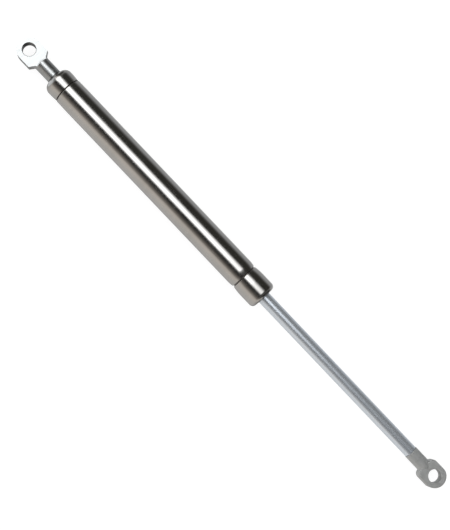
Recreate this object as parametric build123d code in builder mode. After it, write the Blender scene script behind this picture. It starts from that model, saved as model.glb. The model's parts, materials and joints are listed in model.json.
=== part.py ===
from build123d import *

# Stainless steel gas strut stay: 8 mm rod, 18 mm tube, 120 mm stroke, an 8 mm eye at each end.
# Millimetres. The strut lies along +X, fully extended. The origin is the centre of the rear eye, and both
# eyes are bored along Z. Turned pieces are drawn as half sections: x runs along the strut, y is the radius.

import os

# Driving dimensions
EYE_TO_EYE = 347.0
STROKE = 120.0
TUBE_DIAMETER = 18.0
TUBE_WALL = 1.25
ROD_DIAMETER = 8.0
EYE_BORE = 8.1
REAR_EYE_WIDTH = 15.0
REAR_EYE_THICKNESS = 6.0
NECK_DIAMETER = 9.4
REAR_REACH = 21.6
FRONT_EYE_WIDTH = 13.8
FRONT_EYE_DIAMETER = 14.2
FRONT_EYE_THICKNESS = 7.5
COLLAR_DIAMETER = 8.5
FRONT_REACH = 19.4
BARE_ROD = 6.3

# Gaps and broken edges
FIT = 0.05
O_RING_FIT = 0.02
STOP_GAP = 0.3
BREAK = 0.3
SLIGHT_BREAK = 0.2

# Radii
TUBE_OUTER = TUBE_DIAMETER / 2
TUBE_INNER = TUBE_OUTER - TUBE_WALL
SEAT_RADIUS = TUBE_INNER - FIT
ROD_RADIUS = ROD_DIAMETER / 2
ROD_HOLE = ROD_RADIUS + FIT
MOUTH_RADIUS = 5.0
BOSS_RADIUS = 4.6
EYE_HOLE = EYE_BORE / 2

# Threads: ridges at the pitch, the tapped holes cut a little larger than the studs
THREAD_LENGTH = 10.0
THREAD_PITCH = 1.0
THREAD_CREST = 2.95
THREAD_ROOT = 2.45
THREAD_GAP = 0.08
FLANK_TOP = 0.4 * THREAD_PITCH
FLANK_FOOT = 0.6 * THREAD_PITCH
DRILL_POINT = 1.5

# Rolled ends of the tube, and the grooves rolled near each of them. Each draw-in is its run along the strut
# and its depth. Past the front groove the wall swells out over the guide.
REAR_ROLL = TUBE_OUTER - MOUTH_RADIUS
FRONT_ROLL = 2.6
FRONT_SWELL = 0.15
REAR_GROOVE_SETBACK = 10.7
FRONT_GROOVE_SETBACK = 17.0
REAR_DRAW = ((6.0, 0.35), (10.0, 0.12))
FRONT_DRAW = ((4.0, 0.45), (6.5, 0.45))
CHANNEL_HALF_WIDTH = 0.45
CHANNEL_DEPTH = 1.1
BEAD_HALF_WIDTH = 1.5
BEAD_HEIGHT = 0.7

# Stations along the strut
BOSS_HEIGHT = 0.5
TUBE_START = REAR_REACH + BOSS_HEIGHT
COLLAR_START = EYE_TO_EYE - FRONT_REACH
TUBE_END = COLLAR_START - STROKE - BARE_ROD
REAR_SHOULDER = TUBE_START + REAR_ROLL
FRONT_SHOULDER = TUBE_END - FRONT_ROLL
REAR_LIP = TUBE_START + TUBE_WALL
FRONT_LIP = TUBE_END - TUBE_WALL
REAR_GROOVE = TUBE_START + REAR_GROOVE_SETBACK
FRONT_GROOVE = TUBE_END - FRONT_GROOVE_SETBACK

# O-rings and the grooves that hold them
CORD = 1.6
O_RING_GROOVE_WIDTH = 2.2
O_RING_FLOOR = TUBE_INNER - CORD - 2 * O_RING_FIT
O_RING_CENTRE = TUBE_INNER - CORD / 2 - O_RING_FIT
PLUG_LAND = 3.2
PLUG_O_RING = REAR_GROOVE + BEAD_HALF_WIDTH + PLUG_LAND
PLUG_END = PLUG_O_RING + PLUG_LAND

# Seal and guide pack, stacked from the front groove to the rolled mouth
SUPPORT_THICKNESS = 1.2
SEAL_LENGTH = 3.4
BACKUP_THICKNESS = 0.8
BEARING_LENGTH = 5.0
FELT_LENGTH = 1.8
SUPPORT_START = FRONT_GROOVE + BEAD_HALF_WIDTH
SEAL_START = SUPPORT_START + SUPPORT_THICKNESS
BACKUP_START = SEAL_START + SEAL_LENGTH
GUIDE_START = BACKUP_START + BACKUP_THICKNESS
FELT_START = GUIDE_START + BEARING_LENGTH
DISC_START = FELT_START + FELT_LENGTH
DISC_END = FRONT_LIP - FIT
GUIDE_O_RING = GUIDE_START + BEARING_LENGTH / 2
SUPPORT_BORE = 4.5
SLEEVE_RADIUS = 4.9
FELT_RADIUS = 5.8
WIPER_SEAT = 5.6
WIPER_LIP = 4.6
WIPER_END = TUBE_END + 0.3
SEAL_THROAT = 1.8
SEAL_THROAT_HALF = 0.6

# Piston pack, stacked back from the rod's shoulder
PISTON_RADIUS = 7.6
PISTON_LENGTH = 7.0
ORIFICE_DISC_THICKNESS = 0.8
BACKING_THICKNESS = 1.4
RETAINER_THICKNESS = 1.2
RIVET_HEIGHT = 1.4
PISTON_FRONT = FRONT_GROOVE - BEAD_HALF_WIDTH - STOP_GAP
PISTON_BACK = PISTON_FRONT - PISTON_LENGTH
ORIFICE_DISC_END = PISTON_FRONT + ORIFICE_DISC_THICKNESS
ROD_SHOULDER = ORIFICE_DISC_END + BACKING_THICKNESS
RETAINER_BACK = PISTON_BACK - RETAINER_THICKNESS
ROD_BACK = RETAINER_BACK - RIVET_HEIGHT
PACK_RADIUS = 6.2
RETAINER_RADIUS = 3.9
RIVET_RADIUS = 3.4
TAIL_RADIUS = 2.5
RING_WIDTH = 2.6
RING_CENTRE = (PISTON_BACK + PISTON_FRONT) / 2
RING_FLOOR = 6.1
BYPASS_COUNT = 3
BYPASS_CIRCLE = 4.9
BYPASS_RADIUS = 0.5
NOZZLE_RADIUS = 0.25


def circles(builder, radius):
    """The circular edges of one radius on the piece that is being built."""
    return ShapeList(e for e in builder.edges().filter_by(GeomType.CIRCLE) if abs(e.radius - radius) < 0.01)


def thread_outline(start, allowance=0.0):
    """The points of a thread's half section from start, drawn as concentric ridges at its pitch."""
    crest = THREAD_CREST + allowance
    root = THREAD_ROOT + allowance
    points = [(start, root)]
    for turn in range(round(THREAD_LENGTH / THREAD_PITCH)):
        foot = start + turn * THREAD_PITCH
        points += [
            (foot + FLANK_TOP, crest),
            (foot + FLANK_FOOT, crest),
            (foot + THREAD_PITCH, root),
        ]
    return points


def rolled_groove(centre, draw, swell=0.0):
    """Half section of a groove rolled in the tube's outside: a narrow channel between two draw-ins."""
    (left_run, left_depth), (right_run, right_depth) = draw
    left = (centre - CHANNEL_HALF_WIDTH, TUBE_OUTER - left_depth)
    right = (centre + CHANNEL_HALF_WIDTH, TUBE_OUTER - right_depth)
    TangentArc((centre - left_run, TUBE_OUTER), left, tangent=(1, 0))
    ThreePointArc(left, (centre, TUBE_OUTER - CHANNEL_DEPTH), right)
    TangentArc((centre + right_run, TUBE_OUTER + swell), right, tangent=(-1, 0))


def rolled_bead(centre):
    """Half section of the bead that the same groove raises in the tube's bore."""
    left = (centre - BEAD_HALF_WIDTH, TUBE_INNER)
    right = (centre + BEAD_HALF_WIDTH, TUBE_INNER)
    ThreePointArc(right, (centre, TUBE_INNER - BEAD_HEIGHT), left)


def ring(start, end, bore, radius, edge_break=0.0):
    """A plain ring about the strut's axis with its outer edges broken."""
    with BuildPart() as turned:
        with BuildSketch(Plane.YZ.offset(start)):
            Circle(radius)
            Circle(bore, mode=Mode.SUBTRACT)
        extrude(amount=end - start)
        if edge_break:
            chamfer(circles(turned, radius), edge_break)
    return turned


def o_ring(centre):
    """An O-ring that seals against the tube's bore."""
    with BuildPart() as moulded:
        with BuildSketch(Plane.XY):
            with Locations((centre, O_RING_CENTRE)):
                Circle(CORD / 2)
        revolve(axis=Axis.X)
    return moulded


def o_ring_groove(centre):
    """The points of the groove that holds an O-ring, left to right, in a half section."""
    left = centre - O_RING_GROOVE_WIDTH / 2
    right = centre + O_RING_GROOVE_WIDTH / 2
    return [(left, SEAT_RADIUS), (left, O_RING_FLOOR), (right, O_RING_FLOOR), (right, SEAT_RADIUS)]


def tapped_hole(reach):
    """The cutter for the tapped hole in the open end of an end fitting."""
    tip = reach - THREAD_LENGTH
    with BuildPart() as cutter:
        with BuildSketch(Plane.XY):
            with BuildLine():
                Polyline((tip - DRILL_POINT, 0), *thread_outline(tip, THREAD_GAP), (reach, 0), close=True)
            make_face()
        revolve(axis=Axis.X)
    return cutter.part


os.makedirs("parts", exist_ok=True)

# Pressure tube: seamless, rolled over at both ends, with a groove rolled over the plug and over the seal pack
with BuildPart() as cylinder_tube:
    front_outer = TUBE_OUTER + FRONT_SWELL
    front_flat = TUBE_OUTER - FRONT_ROLL
    rear_smooth = REAR_GROOVE - REAR_DRAW[0][0]
    middle_start = REAR_GROOVE + REAR_DRAW[1][0]
    middle_end = FRONT_GROOVE - FRONT_DRAW[0][0]
    front_smooth = FRONT_GROOVE + FRONT_DRAW[1][0]
    with BuildSketch(Plane.XY):
        with BuildLine():
            TangentArc((TUBE_START, MOUTH_RADIUS), (REAR_SHOULDER, TUBE_OUTER), tangent=(0, 1))
            Line((REAR_SHOULDER, TUBE_OUTER), (rear_smooth, TUBE_OUTER))
            rolled_groove(REAR_GROOVE, REAR_DRAW)
            Line((middle_start, TUBE_OUTER), (middle_end, TUBE_OUTER))
            rolled_groove(FRONT_GROOVE, FRONT_DRAW, FRONT_SWELL)
            Line((front_smooth, front_outer), (FRONT_SHOULDER, front_outer))
            TangentArc((FRONT_SHOULDER, front_outer), (TUBE_END, front_flat), tangent=(1, 0))
            Polyline(
                (TUBE_END, front_flat),
                (TUBE_END, MOUTH_RADIUS),
                (FRONT_LIP, MOUTH_RADIUS),
                (FRONT_LIP, front_flat),
            )
            TangentArc((FRONT_LIP, front_flat), (FRONT_SHOULDER, TUBE_INNER), tangent=(0, 1))
            Line((FRONT_SHOULDER, TUBE_INNER), (FRONT_GROOVE + BEAD_HALF_WIDTH, TUBE_INNER))
            rolled_bead(FRONT_GROOVE)
            Line(
                (FRONT_GROOVE - BEAD_HALF_WIDTH, TUBE_INNER),
                (REAR_GROOVE + BEAD_HALF_WIDTH, TUBE_INNER),
            )
            rolled_bead(REAR_GROOVE)
            Line((REAR_GROOVE - BEAD_HALF_WIDTH, TUBE_INNER), (REAR_SHOULDER, TUBE_INNER))
            TangentArc((REAR_SHOULDER, TUBE_INNER), (REAR_LIP, MOUTH_RADIUS), tangent=(-1, 0))
            Line((REAR_LIP, MOUTH_RADIUS), (TUBE_START, MOUTH_RADIUS))
        make_face()
    revolve(axis=Axis.X)
    fillet(circles(cylinder_tube, MOUTH_RADIUS), BREAK)
cylinder_tube.part.label = "cylinder_tube"
export_step(cylinder_tube.part, "parts/cylinder_tube.step")

# End plug: held by the rear groove and the rolled end, its boss and stud standing out of the tube
with BuildPart() as end_plug:
    back = REAR_LIP + FIT
    stud_tip = REAR_REACH - THREAD_LENGTH
    groove_floor = TUBE_INNER - BEAD_HEIGHT - FIT
    groove_left = REAR_GROOVE - BEAD_HALF_WIDTH - FIT
    groove_right = REAR_GROOVE + BEAD_HALF_WIDTH + FIT
    with BuildSketch(Plane.XY):
        with BuildLine():
            Polyline(
                (stud_tip, 0),
                *thread_outline(stud_tip),
                (REAR_REACH + FIT, THREAD_ROOT),
                (REAR_REACH + FIT, BOSS_RADIUS - BREAK),
                (REAR_REACH + FIT + BREAK, BOSS_RADIUS),
                (back, BOSS_RADIUS),
                (back, MOUTH_RADIUS),
            )
            TangentArc((back, MOUTH_RADIUS), (REAR_SHOULDER, SEAT_RADIUS), tangent=(0, 1))
            Polyline(
                (REAR_SHOULDER, SEAT_RADIUS),
                (groove_left, SEAT_RADIUS),
                (groove_left, groove_floor),
                (groove_right, groove_floor),
                (groove_right, SEAT_RADIUS),
                *o_ring_groove(PLUG_O_RING),
                (PLUG_END - BREAK, SEAT_RADIUS),
                (PLUG_END, SEAT_RADIUS - BREAK),
                (PLUG_END, 0),
                (stud_tip, 0),
            )
        make_face()
    revolve(axis=Axis.X)
end_plug.part.label = "end_plug"
export_step(end_plug.part, "parts/end_plug.step")

plug_o_ring = o_ring(PLUG_O_RING)
plug_o_ring.part.label = "plug_o_ring"
export_step(plug_o_ring.part, "parts/plug_o_ring.step")

# Rear eyelet: turned from bar, the eye milled flat on both sides, crisp edges
rear_thread = tapped_hole(REAR_REACH)
with BuildPart() as rear_eyelet:
    neck = NECK_DIAMETER / 2
    lug_radius = REAR_EYE_WIDTH / 2
    half_lug = REAR_EYE_THICKNESS / 2
    blank = 9.0
    flank_top = 6.8
    flank_foot = 10.0
    flank_root = 1.5
    flats_end = 10.8
    with BuildSketch(Plane.XY):
        with BuildLine():
            Polyline(
                (-blank, 0),
                (-blank, blank),
                (flank_top, blank),
                (flank_foot, neck),
                (REAR_REACH - SLIGHT_BREAK, neck),
                (REAR_REACH, neck - SLIGHT_BREAK),
                (REAR_REACH, 0),
                close=True,
            )
        make_face()
    revolve(axis=Axis.X)
    fillet(circles(rear_eyelet, neck).sort_by(Axis.X)[0], flank_root)
    with BuildSketch(Plane.XY):
        Circle(lug_radius)
        with Locations((REAR_REACH / 2, 0)):
            Rectangle(REAR_REACH, REAR_EYE_WIDTH)
    extrude(amount=blank, both=True, mode=Mode.INTERSECT)
    for side in (1, -1):
        with BuildSketch(Plane.XY.offset(side * half_lug)):
            with Locations((flats_end, 0)):
                Rectangle(2 * blank + flats_end, 2 * blank, align=(Align.MAX, Align.CENTER))
        extrude(amount=side * blank, mode=Mode.SUBTRACT)
    Hole(EYE_HOLE)
    chamfer(circles(rear_eyelet, EYE_HOLE), BREAK)
    add(rear_thread, mode=Mode.SUBTRACT)
rear_eyelet.part.label = "rear_eyelet"
export_step(rear_eyelet.part, "parts/rear_eyelet.step")

# Support washer: carries the gas load of the seal on the front bead
support_washer = ring(SUPPORT_START + FIT, SEAL_START - FIT, SUPPORT_BORE, SEAT_RADIUS, BREAK)
support_washer.part.label = "support_washer"
export_step(support_washer.part, "parts/support_washer.step")

# Rod seal: a lip seal whose throat opens towards the gas
with BuildPart() as rod_seal:
    throat = (ROD_HOLE + SEAT_RADIUS) / 2
    with BuildSketch(Plane.XY):
        with BuildLine():
            Polyline(
                (SEAL_START, ROD_HOLE + BREAK),
                (SEAL_START, throat - SEAL_THROAT_HALF),
                (SEAL_START + SEAL_THROAT, throat),
                (SEAL_START, throat + SEAL_THROAT_HALF),
                (SEAL_START, SEAT_RADIUS - BREAK),
                (SEAL_START + BREAK, SEAT_RADIUS),
                (BACKUP_START - FIT, SEAT_RADIUS),
                (BACKUP_START - FIT, ROD_HOLE),
                (SEAL_START + BREAK, ROD_HOLE),
                close=True,
            )
        make_face()
    revolve(axis=Axis.X)
rod_seal.part.label = "rod_seal"
export_step(rod_seal.part, "parts/rod_seal.step")

# Backup ring: keeps the seal from being pushed into the guide's clearance
backup_ring = ring(BACKUP_START, GUIDE_START - FIT, ROD_HOLE, SEAT_RADIUS)
backup_ring.part.label = "backup_ring"
export_step(backup_ring.part, "parts/backup_ring.step")

# Guide bush: carries the bearing sleeve in its bore, an O-ring outside and the grease felt in its front
with BuildPart() as guide_bush:
    sleeve_seat = SLEEVE_RADIUS + O_RING_FIT
    with BuildSketch(Plane.XY):
        with BuildLine():
            Polyline(
                (GUIDE_START, sleeve_seat),
                (GUIDE_START, SEAT_RADIUS),
                *o_ring_groove(GUIDE_O_RING),
                (DISC_START - FIT, SEAT_RADIUS),
                (DISC_START - FIT, FELT_RADIUS + FIT),
                (FELT_START, FELT_RADIUS + FIT),
                (FELT_START, sleeve_seat),
                close=True,
            )
        make_face()
    revolve(axis=Axis.X)
guide_bush.part.label = "guide_bush"
export_step(guide_bush.part, "parts/guide_bush.step")

# Bearing sleeve: the rod's plain bearing
bearing_sleeve = ring(GUIDE_START, FELT_START - FIT, ROD_HOLE, SLEEVE_RADIUS)
bearing_sleeve.part.label = "bearing_sleeve"
export_step(bearing_sleeve.part, "parts/bearing_sleeve.step")

guide_o_ring = o_ring(GUIDE_O_RING)
guide_o_ring.part.label = "guide_o_ring"
export_step(guide_o_ring.part, "parts/guide_o_ring.step")

# Felt ring: holds the grease that wets the rod
grease_felt_ring = ring(FELT_START, DISC_START - FIT, ROD_HOLE, FELT_RADIUS)
grease_felt_ring.part.label = "grease_felt_ring"
export_step(grease_felt_ring.part, "parts/grease_felt_ring.step")

# Closing disc: the tube's mouth is rolled down on its rounded edge
with BuildPart() as closing_disc:
    with BuildSketch(Plane.XY):
        with BuildLine():
            Polyline(
                (DISC_END, front_flat),
                (DISC_END, WIPER_SEAT),
                (DISC_START, WIPER_SEAT),
                (DISC_START, SEAT_RADIUS),
                (FRONT_SHOULDER, SEAT_RADIUS),
            )
            TangentArc((FRONT_SHOULDER, SEAT_RADIUS), (DISC_END, front_flat), tangent=(1, 0))
        make_face()
    revolve(axis=Axis.X)
closing_disc.part.label = "closing_disc"
export_step(closing_disc.part, "parts/closing_disc.step")

# Rod wiper: its flange is held behind the rolled mouth and its lip looks out of it
with BuildPart() as rod_wiper:
    with BuildSketch(Plane.XY):
        with BuildLine():
            Polyline(
                (DISC_START, ROD_HOLE),
                (DISC_START, WIPER_SEAT - FIT),
                (DISC_END, WIPER_SEAT - FIT),
                (DISC_END, WIPER_LIP),
                (WIPER_END, ROD_HOLE + BREAK),
                (WIPER_END, ROD_HOLE),
                close=True,
            )
        make_face()
    revolve(axis=Axis.X)
rod_wiper.part.label = "rod_wiper"
export_step(rod_wiper.part, "parts/rod_wiper.step")

# Piston rod: ground and polished, a riveted tail at the piston and a threaded stud at the eyelet
with BuildPart() as piston_rod:
    with BuildSketch(Plane.XY):
        with BuildLine():
            Polyline(
                (ROD_BACK, 0),
                (ROD_BACK, RIVET_RADIUS - 2 * BREAK),
                (ROD_BACK + 2 * BREAK, RIVET_RADIUS),
                (RETAINER_BACK - FIT, RIVET_RADIUS),
                (RETAINER_BACK - FIT, TAIL_RADIUS),
                (ROD_SHOULDER, TAIL_RADIUS),
                (ROD_SHOULDER, ROD_RADIUS - BREAK),
                (ROD_SHOULDER + BREAK, ROD_RADIUS),
                (COLLAR_START - FIT - BREAK, ROD_RADIUS),
                (COLLAR_START - FIT, ROD_RADIUS - BREAK),
                (COLLAR_START - FIT, THREAD_ROOT),
                *thread_outline(COLLAR_START),
                (COLLAR_START + THREAD_LENGTH, 0),
                close=True,
            )
        make_face()
    revolve(axis=Axis.X)
piston_rod.part.label = "piston_rod"
export_step(piston_rod.part, "parts/piston_rod.step")

# Front eyelet: cast and blasted, the collar running softly into a flat eye with rounded shoulders
front_thread = tapped_hole(FRONT_REACH)
with BuildPart() as front_eyelet:
    collar = COLLAR_DIAMETER / 2
    half_eye = FRONT_EYE_THICKNESS / 2
    shoulder = 8.4
    shoulder_radius = 3.0
    soft_edge = 0.6
    throat_length = 4.0
    with BuildSketch(Plane.XY) as outline:
        Circle(FRONT_EYE_DIAMETER / 2)
        with Locations((shoulder / 2, 0)):
            Rectangle(shoulder, FRONT_EYE_DIAMETER)
        with Locations((shoulder, 0)):
            Rectangle(4 * shoulder, FRONT_EYE_WIDTH, mode=Mode.INTERSECT)
        fillet(outline.vertices().group_by(Axis.X)[-1], shoulder_radius)
    extrude(amount=half_eye, both=True)
    fillet(front_eyelet.faces().filter_by(Axis.Z).edges(), soft_edge)
    with BuildSketch(Plane.XY):
        with BuildLine():
            nose = shoulder + soft_edge - throat_length
            TangentArc((shoulder + soft_edge, collar), (nose, half_eye - soft_edge), tangent=(-1, 0))
            Polyline(
                (shoulder + soft_edge, collar),
                (FRONT_REACH - SLIGHT_BREAK, collar),
                (FRONT_REACH, collar - SLIGHT_BREAK),
                (FRONT_REACH, 0),
                (nose, 0),
                (nose, half_eye - soft_edge),
            )
        make_face()
    revolve(axis=Axis.X)
    Hole(EYE_HOLE)
    fillet(circles(front_eyelet, EYE_HOLE), SLIGHT_BREAK)
    add(front_thread, mode=Mode.SUBTRACT)
to_rod_end = Location((EYE_TO_EYE, 0, 0), (0, 0, 180))
front_eyelet.part.locate(to_rod_end)
front_eyelet.part.label = "front_eyelet"
export_step(front_eyelet.part, "parts/front_eyelet.step")

# Backing washer: bears on the rod's shoulder, holed to let gas reach the nozzle
with BuildPart() as backing_washer:
    with BuildSketch(Plane.YZ.offset(ORIFICE_DISC_END + FIT)):
        Circle(PACK_RADIUS)
        Circle(TAIL_RADIUS + FIT, mode=Mode.SUBTRACT)
        with PolarLocations(BYPASS_CIRCLE, BYPASS_COUNT):
            Circle(BYPASS_RADIUS, mode=Mode.SUBTRACT)
    extrude(amount=ROD_SHOULDER - ORIFICE_DISC_END - 2 * FIT)
backing_washer.part.label = "backing_washer"
export_step(backing_washer.part, "parts/backing_washer.step")

# Orifice disc: its one small nozzle meters the gas that passes the piston
with BuildPart() as orifice_disc:
    with BuildSketch(Plane.YZ.offset(PISTON_FRONT + FIT)):
        Circle(PACK_RADIUS)
        Circle(TAIL_RADIUS + FIT, mode=Mode.SUBTRACT)
        with PolarLocations(BYPASS_CIRCLE, 1):
            Circle(NOZZLE_RADIUS, mode=Mode.SUBTRACT)
    extrude(amount=ORIFICE_DISC_END - PISTON_FRONT - FIT)
orifice_disc.part.label = "orifice_disc"
export_step(orifice_disc.part, "parts/orifice_disc.step")

# Piston: grooved for its ring and drilled for the gas
with BuildPart() as piston:
    ring_left = RING_CENTRE - RING_WIDTH / 2 - FIT
    ring_right = RING_CENTRE + RING_WIDTH / 2 + FIT
    with BuildSketch(Plane.XY):
        with BuildLine():
            Polyline(
                (PISTON_BACK, TAIL_RADIUS + FIT),
                (PISTON_BACK, PISTON_RADIUS - BREAK),
                (PISTON_BACK + BREAK, PISTON_RADIUS),
                (ring_left, PISTON_RADIUS),
                (ring_left, RING_FLOOR),
                (ring_right, RING_FLOOR),
                (ring_right, PISTON_RADIUS),
                (PISTON_FRONT - BREAK, PISTON_RADIUS),
                (PISTON_FRONT, PISTON_RADIUS - BREAK),
                (PISTON_FRONT, TAIL_RADIUS + FIT),
                close=True,
            )
        make_face()
    revolve(axis=Axis.X)
    with BuildSketch(Plane.YZ.offset(PISTON_BACK)):
        with PolarLocations(BYPASS_CIRCLE, BYPASS_COUNT):
            Circle(BYPASS_RADIUS)
    extrude(amount=PISTON_LENGTH, mode=Mode.SUBTRACT)
piston.part.label = "piston"
export_step(piston.part, "parts/piston.step")

# Piston ring: slides in the tube, and the rod turns inside it
piston_ring = ring(
    RING_CENTRE - RING_WIDTH / 2,
    RING_CENTRE + RING_WIDTH / 2,
    RING_FLOOR + 2 * FIT,
    SEAT_RADIUS,
    FIT,
)
piston_ring.part.label = "piston_ring"
export_step(piston_ring.part, "parts/piston_ring.step")

# Retaining washer: under the riveted tail
retaining_washer = ring(RETAINER_BACK, PISTON_BACK - FIT, TAIL_RADIUS + FIT, RETAINER_RADIUS, BREAK)
retaining_washer.part.label = "retaining_washer"
export_step(retaining_washer.part, "parts/retaining_washer.step")
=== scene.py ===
"""Gas strut stay on a pale lit table, inside a light tent that only its reflections see."""

import json
import math

import bmesh
import bpy
from mathutils import Matrix, Vector


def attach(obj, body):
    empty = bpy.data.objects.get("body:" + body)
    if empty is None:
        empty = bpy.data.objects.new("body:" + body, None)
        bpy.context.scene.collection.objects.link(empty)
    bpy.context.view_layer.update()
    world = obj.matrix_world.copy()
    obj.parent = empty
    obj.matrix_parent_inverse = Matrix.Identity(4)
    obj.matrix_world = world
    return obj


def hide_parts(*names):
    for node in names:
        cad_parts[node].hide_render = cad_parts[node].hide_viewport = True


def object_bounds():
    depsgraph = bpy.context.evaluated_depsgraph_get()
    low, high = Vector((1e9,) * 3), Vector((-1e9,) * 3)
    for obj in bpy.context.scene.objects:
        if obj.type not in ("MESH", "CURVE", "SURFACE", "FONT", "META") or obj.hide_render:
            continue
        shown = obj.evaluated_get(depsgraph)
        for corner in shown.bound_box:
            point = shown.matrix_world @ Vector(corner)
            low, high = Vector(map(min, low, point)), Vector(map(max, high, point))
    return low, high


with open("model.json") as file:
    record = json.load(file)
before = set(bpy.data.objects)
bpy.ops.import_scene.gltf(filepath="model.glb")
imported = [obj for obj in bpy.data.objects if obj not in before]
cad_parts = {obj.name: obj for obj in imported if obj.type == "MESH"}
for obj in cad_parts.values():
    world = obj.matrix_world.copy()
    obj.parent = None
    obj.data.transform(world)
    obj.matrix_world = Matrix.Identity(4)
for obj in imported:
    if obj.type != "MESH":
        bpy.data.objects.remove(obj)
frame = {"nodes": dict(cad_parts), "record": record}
cad_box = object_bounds()
MM = 0.001


# Camera: it looks down on the strut, which runs corner to corner, and leans a little towards -Y
LENS = 73.7
DISTANCE = 0.642
LEAN = math.radians(8.0)
ROLL = math.radians(46.46)
AIM_OFFSET = Vector((-1.8 * MM, -3.5 * MM, 0))
NEAR_CLIP = 0.01
FAR_CLIP = 20.0


def mount_centres():
    """The centres of the rear eye and the rod's eye."""
    places = {mount["name"]: Vector(mount["pos_m"]) for mount in frame["record"]["mounts"]}
    return places["rear_eye"], places["rod_eye"]


def make_camera():
    """The camera, over the middle of the strut and rolled so that the strut runs down to the right."""
    rear, front = mount_centres()
    aim = (rear + front) / 2 + AIM_OFFSET
    back = Vector((0, -math.sin(LEAN), math.cos(LEAN)))
    along = Vector((1, 0, 0))
    across = back.cross(along)
    right = math.cos(ROLL) * along + math.sin(ROLL) * across
    up = math.cos(ROLL) * across - math.sin(ROLL) * along
    data = bpy.data.cameras.new("camera")
    data.lens = LENS
    data.clip_start = NEAR_CLIP
    data.clip_end = FAR_CLIP
    camera = bpy.data.objects.new("camera", data)
    bpy.context.scene.collection.objects.link(camera)
    turn = Matrix((right, up, back)).transposed().to_4x4()
    camera.matrix_world = Matrix.Translation(aim + back * DISTANCE) @ turn
    bpy.context.scene.camera = camera


make_camera()


# Turned pieces are turned again, finely, from the profile that the CAD node's own mesh shows
TURNED = ("cylinder_tube", "piston_rod", "end_plug", "rod_wiper", "closing_disc")
SEAM_TOLERANCE = 2e-6
KEY_DIGITS = 7
SEGMENTS = 160
SHARP_ANGLE = math.radians(28)
LONG_RUN = 1.2 * MM
SUPPORT = 0.2 * MM


def body_of(node):
    """The name of the body that a node belongs to."""
    bodies = frame["record"]["behaviour"]["bodies"]
    return next(body for body, members in bodies.items() if node in members)


def slot_of(node):
    """The name of the material slot that the record gives a node."""
    return next(entry["material_slot"] for entry in frame["record"]["subparts"] if entry["node"] == node)


def profile(node):
    """The half section of a turned node, as (x, radius) points in order, and whether it closes on itself.

    A section that meets the axis is open there.
    """
    mesh = frame["nodes"][node].data
    key_of = {}
    for vertex in mesh.vertices:
        x, y, z = vertex.co
        if abs(z) < SEAM_TOLERANCE and y > -SEAM_TOLERANCE:
            key_of[vertex.index] = (round(x, KEY_DIGITS), round(max(y, 0.0), KEY_DIGITS))
    links = {key: set() for key in key_of.values()}
    for edge in mesh.edges:
        a, b = edge.vertices
        if a in key_of and b in key_of and key_of[a] != key_of[b]:
            links[key_of[a]].add(key_of[b])
            links[key_of[b]].add(key_of[a])
    # A flat end may have no mesh edge in this plane, so its two corners are linked here
    loose = sorted(key for key, near in links.items() if len(near) == 1)
    for a, b in zip(loose, loose[1:]):
        if abs(a[0] - b[0]) < SEAM_TOLERANCE and len(links[a]) == 1 and len(links[b]) == 1:
            links[a].add(b)
            links[b].add(a)
    ends = [key for key, near in links.items() if len(near) == 1]
    starts = ends or loose or list(links)
    walk = [starts[0]]
    seen = set(walk)
    while True:
        following = [key for key in links[walk[-1]] if key not in seen]
        if not following:
            return walk, not ends
        walk.append(following[0])
        seen.add(following[0])


def supported(points, closed):
    """The same profile with a point near each end of every long straight run, to keep its shading even."""
    result = []
    pairs = zip(points, points[1:] + points[:1]) if closed else zip(points, points[1:])
    for a, b in pairs:
        result.append(a)
        start, end = Vector(a), Vector(b)
        run = (end - start).length
        if run > LONG_RUN:
            step = (end - start) * (SUPPORT / run)
            result += [tuple(start + step), tuple(end - step)]
    return result if closed else result + [points[-1]]


def add_ring(shape, x, radius, sides):
    """A ring of corners about the strut's axis."""
    turns = (math.tau * k / sides for k in range(sides))
    return [shape.verts.new((x, radius * math.cos(turn), radius * math.sin(turn))) for turn in turns]


def bridge(shape, near, far):
    """A band of faces between two rings."""
    for k in range(len(near)):
        following = (k + 1) % len(near)
        shape.faces.new((near[k], near[following], far[following], far[k]))


def turned(node):
    """A finely turned copy of a CAD node, which it replaces."""
    points, closed = profile(node)
    points = supported(points, closed)
    mesh = bpy.data.meshes.new(node + "_turned")
    shape = bmesh.new()
    rings = [add_ring(shape, x, radius, SEGMENTS) for x, radius in points]
    pairs = zip(rings, rings[1:] + rings[:1]) if closed else zip(rings, rings[1:])
    for near, far in pairs:
        bridge(shape, near, far)
    if not closed:
        shape.faces.new(rings[0])
        shape.faces.new(rings[-1])
    bmesh.ops.recalc_face_normals(shape, faces=shape.faces)
    shape.to_mesh(mesh)
    shape.free()
    mesh.shade_smooth()
    mesh.set_sharp_from_angle(angle=SHARP_ANGLE)
    piece = bpy.data.objects.new(node + "_turned", mesh)
    bpy.context.scene.collection.objects.link(piece)
    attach(piece, body_of(node))
    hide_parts(node)
    return piece


shown = {node: turned(node) if node in TURNED else piece for node, piece in frame["nodes"].items()}


# Materials: all of them are worked out from the place on the piece, in its own frame. An edge's mask grows
# from none where the rounded and the true normal agree to full where they turn this far apart.
FACE_AGREES = 0.995
EDGE_TURNS = 0.9
BEVEL_SAMPLES = 6
SHADE_SAMPLES = 8
CUTTER_PITCH = 0.45 * MM
CUTTER_BEND = 14.0


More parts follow.
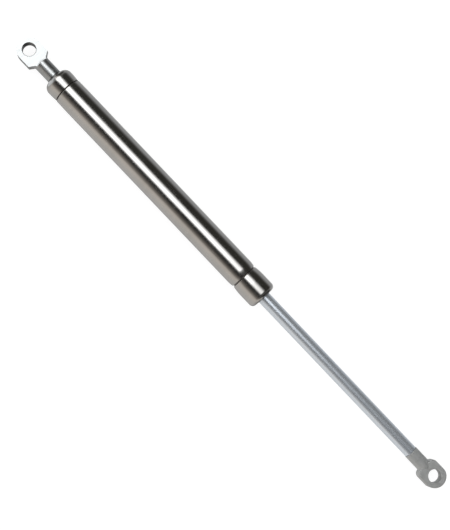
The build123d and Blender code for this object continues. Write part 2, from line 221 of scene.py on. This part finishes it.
class Look:
    """A procedural material that is put together node by node. Sizes are in millimetres."""

    def __init__(self, name, metallic=0.0):
        self.material = bpy.data.materials.new(name)
        self.material.use_nodes = True
        self.tree = self.material.node_tree
        self.shader = self.tree.nodes["Principled BSDF"]
        self.shader.inputs["Metallic"].default_value = metallic
        self.place = self.add("ShaderNodeTexCoord").outputs["Object"]
        self.normal = None

    def add(self, kind, **settings):
        """A new node with its settings."""
        node = self.tree.nodes.new(kind)
        for name, value in settings.items():
            setattr(node, name, value)
        return node

    def feed(self, socket, value):
        """A link or a plain value for a socket."""
        if isinstance(value, bpy.types.NodeSocket):
            self.tree.links.new(value, socket)
        else:
            socket.default_value = value

    def maths(self, operation, first, second=0.0):
        """The result of one sum or function."""
        node = self.add("ShaderNodeMath", operation=operation)
        self.feed(node.inputs[0], first)
        self.feed(node.inputs[1], second)
        return node.outputs[0]

    def noise(self, size, detail=2.0, seed=0.0):
        """Noise from 0 to 1 whose lumps measure size, one number or one for each axis."""
        sizes = size if isinstance(size, tuple) else (size, size, size)
        mapping = self.add("ShaderNodeMapping")
        self.feed(mapping.inputs["Vector"], self.place)
        self.feed(mapping.inputs["Location"], (seed, seed, seed))
        self.feed(mapping.inputs["Scale"], tuple(1 / (extent * MM) for extent in sizes))
        texture = self.add("ShaderNodeTexNoise")
        self.feed(texture.inputs["Vector"], mapping.outputs["Vector"])
        self.feed(texture.inputs["Scale"], 1.0)
        self.feed(texture.inputs["Detail"], detail)
        return texture.outputs["Fac"]

    def total(self, *values):
        """Several values added up."""
        result = values[0]
        for value in values[1:]:
            result = self.maths("ADD", result, value)
        return result

    def spread(self, value, start, end, low=0.0, high=1.0):
        """The value's range from start to end, mapped to low to high and held there."""
        node = self.add("ShaderNodeMapRange")
        for name, number in (("From Min", start), ("From Max", end), ("To Min", low), ("To Max", high)):
            node.inputs[name].default_value = number
        self.feed(node.inputs["Value"], value)
        return node.outputs["Result"]

    def mix(self, factor, first, second):
        """A colour between two."""
        node = self.add("ShaderNodeMix", data_type="RGBA")
        self.feed(node.inputs["Factor"], factor)
        for name, colour in (("A", first), ("B", second)):
            socket = next(s for s in node.inputs if s.name == name and s.type == "RGBA")
            self.feed(socket, (*colour, 1.0) if isinstance(colour, tuple) else colour)
        return next(s for s in node.outputs if s.type == "RGBA")

    def bump(self, height, depth):
        """Relief of a depth, added to what is there."""
        node = self.add("ShaderNodeBump")
        self.feed(node.inputs["Strength"], 1.0)
        self.feed(node.inputs["Distance"], depth * MM)
        self.feed(node.inputs["Height"], height)
        if self.normal:
            self.feed(node.inputs["Normal"], self.normal)
        self.normal = node.outputs["Normal"]

    def edges(self, radius, soften=True):
        """A mask of the edges, where a rounded normal turns from the true one. It may soften them too."""
        bevel = self.add("ShaderNodeBevel", samples=BEVEL_SAMPLES)
        self.feed(bevel.inputs["Radius"], radius * MM)
        if soften:
            self.normal = bevel.outputs["Normal"]
        geometry = self.add("ShaderNodeNewGeometry")
        product = self.add("ShaderNodeVectorMath", operation="DOT_PRODUCT")
        self.feed(product.inputs[0], bevel.outputs["Normal"])
        self.feed(product.inputs[1], geometry.outputs["Normal"])
        return self.spread(product.outputs["Value"], FACE_AGREES, EDGE_TURNS)

    def hollows(self, reach, clean=0.85, full=0.35):
        """A mask of grooves, bores and inside corners, from how little sky they see; the looks darken by it,
        which is painted shade that also stands for dirt.
        """
        shade = self.add("ShaderNodeAmbientOcclusion", samples=SHADE_SAMPLES, only_local=True)
        self.feed(shade.inputs["Distance"], reach * MM)
        return self.spread(shade.outputs["AO"], clean, full)

    def finish(self, colour, roughness):
        """The material, with its colour and roughness connected."""
        self.feed(self.shader.inputs["Base Color"], colour)
        self.feed(self.shader.inputs["Roughness"], roughness)
        if self.normal:
            self.feed(self.shader.inputs["Normal"], self.normal)
        return self.material


def polished_tube():
    """Stainless tube, belt polished as it turned: fine hoops, a few long scratches, and painted shade with
    dirt darkening the grooves.
    """
    look = Look("polished_tube", metallic=1.0)
    worn = look.edges(0.15)
    shade_and_dirt = look.hollows(1.2, 0.95, 0.6)
    hoops = look.noise((0.35, 14.0, 14.0), detail=3.0)
    bands = look.noise((2.2, 30.0, 30.0), detail=2.0, seed=3.0)
    cloud = look.noise(18.0, detail=3.0, seed=7.0)
    scratch = look.spread(look.noise((22.0, 0.35, 0.35), detail=1.0, seed=11.0), 0.68, 0.74)
    tone = look.mix(look.spread(cloud, 0.35, 0.65), (0.485, 0.468, 0.448), (0.53, 0.51, 0.49))
    tone = look.mix(look.spread(bands, 0.3, 0.7, 0.0, 0.5), tone, (0.55, 0.528, 0.505))
    tone = look.mix(look.maths("MULTIPLY", worn, 0.5), tone, (0.68, 0.67, 0.66))
    # Painted shade: grooves and inside corners darkened towards brown-black, which also stands for dirt.
    tone = look.mix(look.maths("MULTIPLY", shade_and_dirt, 0.75), tone, (0.055, 0.036, 0.026))
    rough = look.total(
        look.spread(hoops, 0.25, 0.75, 0.12, 0.19),
        look.spread(bands, 0.3, 0.7, -0.015, 0.03),
        look.maths("MULTIPLY", scratch, 0.1),
        look.maths("MULTIPLY", shade_and_dirt, 0.3),
    )
    look.bump(hoops, 0.0012)
    look.bump(scratch, 0.0008)
    return look.finish(tone, rough)


def milled_eyelet():
    """Bar turned on its neck and milled on its flats: hoops on the neck, arcs on the flats, bright edges."""
    look = Look("milled_eyelet", metallic=1.0)
    worn = look.edges(0.12, soften=False)
    # Painted shade: a long reach, so the bore and inside corners darken far into the hole, as shadow would
    # darken them; it also stands for dirt.
    shade_and_dirt = look.hollows(9.0, 0.85, 0.6)
    hoops = look.noise((0.3, 9.0, 9.0), detail=2.0)
    cloud = look.noise(5.0, detail=4.0, seed=5.0)
    split = look.add("ShaderNodeSeparateXYZ")
    look.feed(split.inputs[0], look.place)
    across = split.outputs["Y"]
    bend = look.maths("MULTIPLY", look.maths("MULTIPLY", across, across), CUTTER_BEND)
    arc = look.maths("ADD", split.outputs["X"], bend)
    cutter = look.maths("SINE", look.maths("MULTIPLY", arc, math.tau / CUTTER_PITCH))
    tone = look.mix(look.spread(cloud, 0.3, 0.7), (0.375, 0.38, 0.38), (0.445, 0.45, 0.445))
    tone = look.mix(look.maths("MULTIPLY", worn, 0.4), tone, (0.62, 0.63, 0.62))
    # Painted shade with dirt: the bore and corners go near black.
    tone = look.mix(look.maths("MULTIPLY", shade_and_dirt, 0.85), tone, (0.05, 0.05, 0.048))
    rough = look.total(
        look.spread(hoops, 0.25, 0.75, 0.31, 0.39),
        look.spread(cloud, 0.3, 0.7, -0.03, 0.04),
        look.maths("MULTIPLY", worn, -0.04),
    )
    look.bump(hoops, 0.0015)
    look.bump(cutter, 0.0006)
    return look.finish(tone, rough)


def turned_metal(name, dark, light, roughness):
    """Metal turned or stamped: fine hoops, a cloudy tone, bright edges, and corners darkened with painted
    shade that also stands for dirt.
    """
    look = Look(name, metallic=1.0)
    bright = tuple(min(1.0, 1.25 * part) for part in light)
    # Painted shade with grime: the dark tone that corners and grooves are darkened to.
    shade_and_grime = tuple(0.25 * part for part in dark)
    worn = look.edges(0.12)
    shade_and_dirt = look.hollows(0.8)
    hoops = look.noise((0.2, 6.0, 6.0), detail=2.0)
    cloud = look.noise(3.0, detail=3.0, seed=4.0)
    tone = look.mix(look.spread(cloud, 0.3, 0.7), dark, light)
    tone = look.mix(look.maths("MULTIPLY", worn, 0.5), tone, bright)
    tone = look.mix(look.maths("MULTIPLY", shade_and_dirt, 0.5), tone, shade_and_grime)
    rough = look.total(
        look.spread(hoops, 0.25, 0.75, roughness - 0.04, roughness + 0.06),
        look.maths("MULTIPLY", shade_and_dirt, 0.2),
    )
    look.bump(hoops, 0.0012)
    return look.finish(tone, rough)


def blasted_eyelet():
    """Cast eyelet, bead blasted: an even matte grain, rubbed a little paler on its edges."""
    look = Look("blasted_eyelet", metallic=0.85)
    worn = look.edges(0.4)
    # Painted shade with dirt: inside corners and the bore are darkened towards brown.
    shade_and_dirt = look.hollows(1.2, 0.75, 0.3)
    grain = look.noise(0.4, detail=3.0)
    pits = look.spread(look.noise(0.8, detail=2.0, seed=9.0), 0.3, 0.42, 1.0, 0.0)
    cloud = look.noise(4.5, detail=4.0, seed=2.0)
    tone = look.mix(look.spread(cloud, 0.35, 0.65), (0.49, 0.495, 0.49), (0.57, 0.575, 0.57))
    tone = look.mix(look.spread(grain, 0.35, 0.7, 0.0, 0.45), tone, (0.69, 0.69, 0.68))
    tone = look.mix(look.maths("MULTIPLY", pits, 0.3), tone, (0.24, 0.24, 0.23))
    tone = look.mix(look.maths("MULTIPLY", shade_and_dirt, 0.4), tone, (0.18, 0.16, 0.14))
    tone = look.mix(look.maths("MULTIPLY", worn, 0.35), tone, (0.68, 0.68, 0.665))
    rough = look.total(
        look.spread(grain, 0.3, 0.7, 0.66, 0.78),
        look.maths("MULTIPLY", worn, -0.1),
    )
    look.bump(grain, 0.022)
    look.bump(pits, -0.01)
    return look.finish(tone, rough)


def ground_rod():
    """Stainless rod, ground and polished: hoops finer than the tube's, and a haze drawn by the wiper."""
    look = Look("ground_rod", metallic=0.76)
    worn = look.edges(0.15)
    hoops = look.noise((0.25, 8.0, 8.0), detail=2.0)
    drawn = look.noise((40.0, 0.5, 0.5), detail=2.0, seed=6.0)
    cloud = look.noise((25.0, 6.0, 6.0), detail=3.0, seed=8.0)
    tone = look.mix(look.spread(cloud, 0.35, 0.65), (0.67, 0.72, 0.78), (0.71, 0.755, 0.81))
    tone = look.mix(look.spread(drawn, 0.55, 0.8, 0.0, 0.3), tone, (0.60, 0.65, 0.71))
    tone = look.mix(look.maths("MULTIPLY", worn, 0.5), tone, (0.80, 0.83, 0.87))
    rough = look.total(
        look.spread(hoops, 0.25, 0.75, 0.23, 0.30),
        look.spread(drawn, 0.3, 0.7, -0.02, 0.04),
    )
    look.bump(hoops, 0.0014)
    look.bump(drawn, 0.0006)
    return look.finish(tone, rough)


def moulded(name, dark, light, roughness, grain_size, grain_depth):
    """Moulded plastic, rubber or felt: a grained skin, uneven tone and paler rubbed edges."""
    look = Look(name)
    rubbed = tuple(min(1.0, 1.5 * part + 0.02) for part in light)
    worn = look.edges(0.15)
    grain = look.noise(grain_size, detail=3.0)
    cloud = look.noise(8 * grain_size, detail=3.0, seed=5.0)
    tone = look.mix(look.spread(cloud, 0.3, 0.7), dark, light)
    tone = look.mix(look.maths("MULTIPLY", worn, 0.4), tone, rubbed)
    rough = look.total(
        look.spread(grain, 0.3, 0.7, roughness - 0.06, roughness + 0.08),
        look.maths("MULTIPLY", worn, -0.08),
    )
    look.bump(grain, grain_depth)
    return look.finish(tone, rough)


looks = {
    "polished_tube": polished_tube(),
    "milled_eyelet": milled_eyelet(),
    "turned_plug": turned_metal("turned_plug", (0.42, 0.42, 0.41), (0.52, 0.52, 0.51), 0.24),
    "blasted_eyelet": blasted_eyelet(),
    "ground_rod": ground_rod(),
    "washer_steel": turned_metal("washer_steel", (0.44, 0.44, 0.44), (0.56, 0.56, 0.55), 0.3),
    "bearing_bronze": turned_metal("bearing_bronze", (0.44, 0.29, 0.14), (0.6, 0.42, 0.22), 0.38),
    "piston_aluminium": turned_metal("piston_aluminium", (0.62, 0.62, 0.63), (0.74, 0.74, 0.75), 0.34),
    "guide_plastic": moulded("guide_plastic", (0.045, 0.045, 0.05), (0.07, 0.07, 0.075), 0.5, 0.3, 0.006),
    "ring_plastic": moulded("ring_plastic", (0.68, 0.67, 0.63), (0.78, 0.77, 0.73), 0.48, 0.3, 0.004),
    "seal_rubber": moulded("seal_rubber", (0.018, 0.018, 0.019), (0.035, 0.034, 0.034), 0.55, 0.2, 0.006),
    "grease_felt": moulded("grease_felt", (0.34, 0.29, 0.19), (0.5, 0.44, 0.32), 0.88, 0.15, 0.05),
}
for node, piece in shown.items():
    piece.data.materials.clear()
    piece.data.materials.append(looks[slot_of(node)])


# Light tent: a drum round the strut that only reflections see. Its wall is painted in bands that run along
# the strut, given by their angle from +Z towards +Y in degrees, and they turn calmer away from its middle.
# Each end has bands of its own. The softbox on the wall, overhead, fades towards the rod's end: its run
# gives its strength at each place along the strut.
WALL_BANDS = (
    (-180, (0.12, 0.12, 0.12)),
    (-168, (0.14, 0.14, 0.14)),
    (-156, (0.64, 0.64, 0.64)),
    (-130, (0.65, 0.65, 0.64)),
    (-100, (0.71, 0.70, 0.68)),
    (-74, (0.76, 0.72, 0.67)),
    (-64, (0.60, 0.57, 0.53)),
    (-56, (0.30, 0.28, 0.26)),
    (-42, (0.12, 0.11, 0.10)),
    (-30, (0.04, 0.04, 0.04)),
    (40, (0.04, 0.04, 0.035)),
    (76, (0.045, 0.045, 0.04)),
    (88, (0.16, 0.16, 0.16)),
    (102, (0.41, 0.425, 0.44)),
    (125, (0.47, 0.485, 0.50)),
    (156, (0.60, 0.61, 0.62)),
    (168, (0.14, 0.14, 0.14)),
    (180, (0.12, 0.12, 0.12)),
)
REAR_END_BANDS = (
    (-180, (0.90, 0.94, 0.98)),
    (-110, (0.90, 0.94, 0.98)),
    (-60, (0.80, 0.84, 0.88)),
    (-38, (0.40, 0.42, 0.44)),
    (-25, (0.34, 0.36, 0.38)),
    (-10, (1.00, 1.00, 1.00)),
    (22, (1.00, 1.00, 1.00)),
    (36, (0.06, 0.06, 0.055)),
    (112, (0.08, 0.08, 0.075)),
    (140, (0.50, 0.52, 0.54)),
    (180, (0.90, 0.94, 0.98)),
)
FRONT_END_BANDS = (
    (-180, (0.06, 0.06, 0.06)),
    (-150, (0.30, 0.29, 0.28)),
    (-110, (0.68, 0.66, 0.64)),
    (-70, (0.72, 0.69, 0.65)),
    (-50, (0.12, 0.11, 0.10)),
    (-30, (0.04, 0.04, 0.04)),
    (180, (0.06, 0.06, 0.06)),
)
SOFTBOX_BANDS = (
    (-16, (0.0, 0.0, 0.0)),
    (-4, (0.82, 0.84, 0.86)),
    (4, (0.95, 0.98, 1.0)),
    (13, (0.82, 0.84, 0.86)),
    (33, (0.0, 0.0, 0.0)),
)
SOFTBOX_RUN = (
    (-0.28, 1.0),
    (-0.12, 0.64),
    (0.215, 0.58),
    (0.245, 0.38),
    (0.27, 0.1),
    (0.33, 0.05),
    (0.42, 0.02),
    (0.8, 0.0),
)
SOFTBOX_STRENGTH = 4.6
SOFTBOX_REACH = 1.0
DRUM_RADIUS = 0.9
DRUM_START = -0.75
DRUM_END = 1.1
DRUM_SIDES = 96
CALM_START = 0.45
CALM_FULL = 0.8
CALM_SHARE = 0.45
CALM_TONE = (0.42, 0.42, 0.41)


def ramp(look, value, start, end, stops):
    """A ramp of colours or strengths between two ends, read at a value."""
    node = look.add("ShaderNodeValToRGB")
    look.feed(node.inputs["Fac"], look.spread(value, start, end))
    elements = node.color_ramp.elements
    while len(elements) < len(stops):
        elements.new(1.0)
    for number, (place, paint) in enumerate(stops):
        elements[number].position = (place - start) / (end - start)
        elements[number].color = (*paint, 1.0) if isinstance(paint, tuple) else (paint, paint, paint, 1.0)
    return node.outputs["Color"]


def tent_look(name, bands, is_wall=False):
    """The glow of one part of the drum, in its bands. The wall also turns calm and has the softbox on it."""
    look = Look(name)
    split = look.add("ShaderNodeSeparateXYZ")
    look.feed(split.inputs[0], look.place)
    turn = look.maths("ARCTAN2", split.outputs["Y"], split.outputs["Z"])
    angle = look.maths("MULTIPLY", turn, 180 / math.pi)
    paint = ramp(look, angle, -180, 180, bands)
    if is_wall:
        offset = look.maths("SUBTRACT", split.outputs["X"], (DRUM_START + DRUM_END) / 2)
        calm = look.spread(look.maths("ABSOLUTE", offset), CALM_START, CALM_FULL, 0.0, CALM_SHARE)
        paint = look.mix(calm, paint, CALM_TONE)
    glow = look.add("ShaderNodeEmission")
    look.feed(glow.inputs["Color"], paint)
    result = glow.outputs["Emission"]
    if is_wall:
        across = ramp(look, angle, -180, 180, SOFTBOX_BANDS)
        along = ramp(look, split.outputs["X"], -SOFTBOX_REACH, SOFTBOX_REACH, SOFTBOX_RUN)
        softbox = look.add("ShaderNodeEmission")
        look.feed(softbox.inputs["Color"], across)
        look.feed(softbox.inputs["Strength"], look.maths("MULTIPLY", along, SOFTBOX_STRENGTH))
        both = look.add("ShaderNodeAddShader")
        look.feed(both.inputs[0], result)
        look.feed(both.inputs[1], softbox.outputs["Emission"])
        result = both.outputs["Shader"]
    look.tree.links.new(result, look.tree.nodes["Material Output"].inputs["Surface"])
    look.tree.nodes.remove(look.shader)
    return look.material


def make_tent():
    """The drum, closed at both ends."""
    shape = bmesh.new()
    rings = [add_ring(shape, x, DRUM_RADIUS, DRUM_SIDES) for x in (DRUM_START, DRUM_END)]
    bridge(shape, *rings)
    for number, ring in enumerate(rings, start=1):
        shape.faces.new(ring).material_index = number
    mesh = bpy.data.meshes.new("tent")
    shape.to_mesh(mesh)
    shape.free()
    mesh.materials.append(tent_look("tent_wall", WALL_BANDS, is_wall=True))
    mesh.materials.append(tent_look("tent_rear_end", REAR_END_BANDS))
    mesh.materials.append(tent_look("tent_front_end", FRONT_END_BANDS))
    tent = bpy.data.objects.new("tent", mesh)
    bpy.context.scene.collection.objects.link(tent)
    tent.visible_camera = False
    tent.visible_diffuse = False
    tent.visible_shadow = False
    tent.visible_transmission = False


# Floor and world
FLOOR_REACH = 6.0
FLOOR_GLOW = 0.85
FLOOR_ROUGHNESS = 0.8
WORLD_STRENGTH = 1.0
WHITE = (1, 1, 1, 1)


def make_floor():
    """The pale table, at the lowest level of the strut. It glows, so that it is even to its edge."""
    level = cad_box[0].z
    mesh = bpy.data.meshes.new("floor")
    signs = ((-1, -1), (1, -1), (1, 1), (-1, 1))
    corners = [(x * FLOOR_REACH, y * FLOOR_REACH, level) for x, y in signs]
    mesh.from_pydata(corners, [], [(0, 1, 2, 3)])
    floor = bpy.data.objects.new("floor", mesh)
    bpy.context.scene.collection.objects.link(floor)
    floor.visible_glossy = False
    look = Look("floor")
    tone = look.mix(look.noise(60.0), (0.2, 0.2, 0.2), (0.22, 0.22, 0.22))
    look.shader.inputs["Emission Color"].default_value = WHITE
    look.shader.inputs["Emission Strength"].default_value = FLOOR_GLOW
    mesh.materials.append(look.finish(tone, FLOOR_ROUGHNESS))


def make_world():
    """Even light from all round, and a plain view transform."""
    world = bpy.data.worlds.new("studio")
    bpy.context.scene.world = world
    world.use_nodes = True
    background = world.node_tree.nodes["Background"]
    background.inputs["Color"].default_value = WHITE
    background.inputs["Strength"].default_value = WORLD_STRENGTH
    bpy.context.scene.view_settings.view_transform = "Standard"


make_tent()
make_floor()
make_world()
